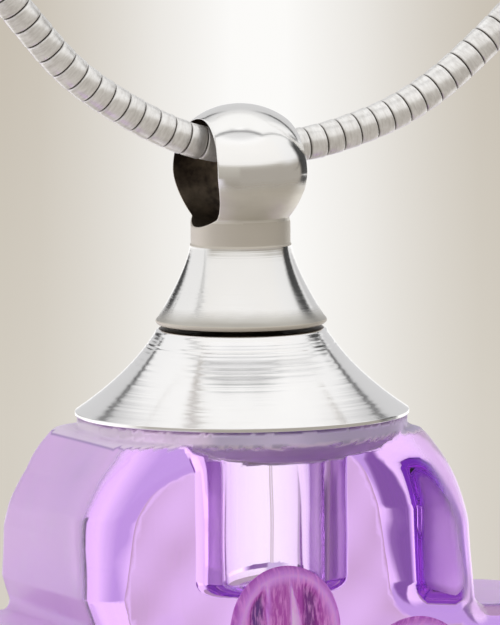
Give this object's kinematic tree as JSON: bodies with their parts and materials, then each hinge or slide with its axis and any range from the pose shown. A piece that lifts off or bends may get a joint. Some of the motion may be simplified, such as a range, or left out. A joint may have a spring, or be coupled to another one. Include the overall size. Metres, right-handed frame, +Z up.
{
  "type": "urn locket necklace",
  "caption": "Glass cross urn locket with a drilled vial, an inner flower, a flared steel collar and a screw stopper, hung by its ball bail on a silver snake chain with a barrel clasp.",
  "frame": {"origin": "underside of the clasp at the nape of the neck, where the worn chain rests", "axes": "+Z up, -Y the way the wearer faces, +X to the wearer's left"},
  "size_m": [0.1212, 0.1014, 0.1615],
  "materials": {
    "silver_chain": "polished",
    "turned_steel": "polished",
    "lavender_glass": "gloss",
    "petal_glass": "gloss"
  },
  "bodies": {
    "root": {"chain": "silver_chain", "clasp": "silver_chain"},
    "stopper": {"stopper": "turned_steel"},
    "vial": {"collar": "turned_steel", "glass_body": "lavender_glass", "flower": "petal_glass"}
  },
  "joints": [
    {"name": "pendant_swing", "type": "hinge", "parent": "root", "child": "stopper", "pos_m": [0, -0.094, -0.11955], "axis": [1, 0, 0], "range_deg": [-80, 80]},
    {"name": "vial_unscrew", "type": "hinge", "parent": "stopper", "child": "vial", "pos_m": [0, -0.094, -0.1262], "axis": [0, 0, -1], "range_deg": [0, 900]}
  ]
}
